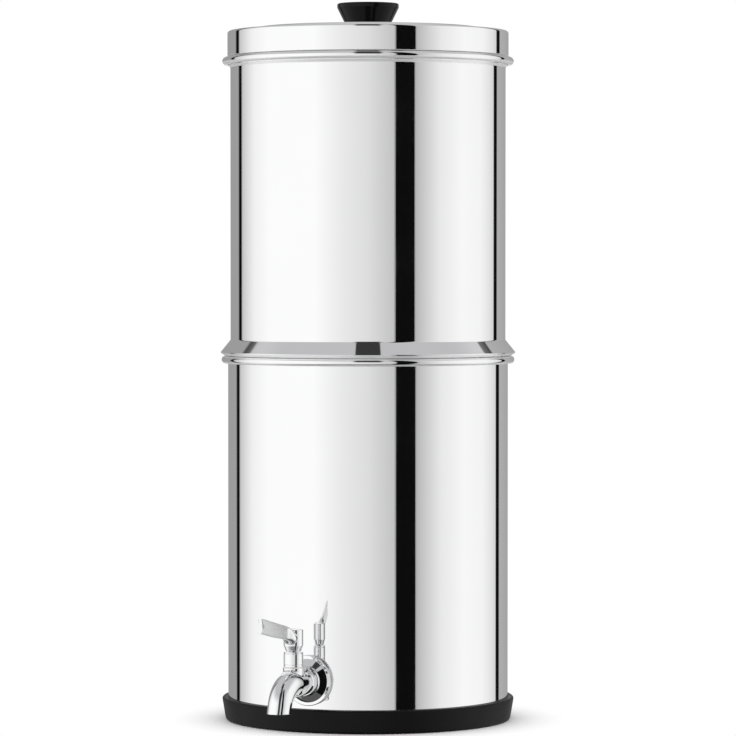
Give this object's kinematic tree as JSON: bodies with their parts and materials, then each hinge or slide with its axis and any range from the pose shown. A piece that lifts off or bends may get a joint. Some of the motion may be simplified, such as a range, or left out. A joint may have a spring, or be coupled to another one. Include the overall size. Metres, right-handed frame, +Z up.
{
  "type": "gravity water filter",
  "caption": "Gravity water filter: stacked polished steel chambers with a lift-off lid, filter candles inside and a quarter turn tap near the base.",
  "frame": {"origin": "centre of the base ring's underside, on the chambers' axis", "axes": "+Z up along the chambers' axis; the tap points along -Y; +X to the right seen from the tap side"},
  "size_m": [0.2177, 0.2943, 0.5292],
  "materials": {
    "polished_steel": "mirror polished stainless steel sheet",
    "chromed_brass": "bright chrome plate",
    "black_knob": "glossy moulded plastic",
    "black_rubber": "smooth satin rubber",
    "white_silicone": "soft translucent white",
    "carbon": "pressed grainy carbon",
    "black_plastic": "fine textured moulding",
    "white_plastic": "smooth white seat plastic",
    "brass": "bare turned brass",
    "plain_steel": "bright machined steel"
  },
  "bodies": {
    "lower_chamber": {"base_ring": "black_rubber", "lower_wall": "polished_steel", "lower_floor": "polished_steel", "tap_flange": "chromed_brass", "tap_body": "chromed_brass", "tap_bonnet": "chromed_brass", "tap_outer_gasket": "white_silicone", "tap_inner_gasket": "white_silicone", "tap_washer": "plain_steel", "tap_lock_nut": "plain_steel", "inlet_ball_seat": "white_plastic", "outlet_ball_seat": "white_plastic", "bonnet_seal": "white_plastic"},
    "tap_handle": {"valve_ball": "chromed_brass", "tap_spindle": "plain_steel", "spindle_seal": "black_rubber", "tap_lever": "chromed_brass", "lever_screw": "plain_steel", "lever_cap": "chromed_brass"},
    "upper_chamber": {"upper_wall": "polished_steel", "upper_floor": "polished_steel", "right_carbon_candle": "carbon", "right_candle_base": "black_plastic", "right_candle_cap": "black_plastic", "right_candle_gasket": "white_silicone", "right_candle_wing_nut": "black_plastic", "left_carbon_candle": "carbon", "left_candle_base": "black_plastic", "left_candle_cap": "black_plastic", "left_candle_gasket": "white_silicone", "left_candle_wing_nut": "black_plastic", "blanking_plugs": "black_plastic", "plug_gaskets": "white_silicone", "plug_nuts": "black_plastic"},
    "lid": {"lid_shell": "polished_steel", "lid_knob": "black_knob", "knob_insert": "brass", "knob_washer": "plain_steel", "knob_screw": "plain_steel"}
  },
  "joints": [
    {"name": "tap_lever_turn", "type": "hinge", "parent": "lower_chamber", "child": "tap_handle", "pos_m": [0, -0.13, 0.0613], "axis": [0, 0, 1], "range_deg": [0, 90]},
    {"name": "upper_chamber_lift", "type": "slide", "parent": "lower_chamber", "child": "upper_chamber", "axis": [0, 0, 1], "range_m": [0, 0.12]},
    {"name": "lid_lift", "type": "slide", "parent": "upper_chamber", "child": "lid", "axis": [0, 0, 1], "range_m": [0, 0.1]}
  ]
}
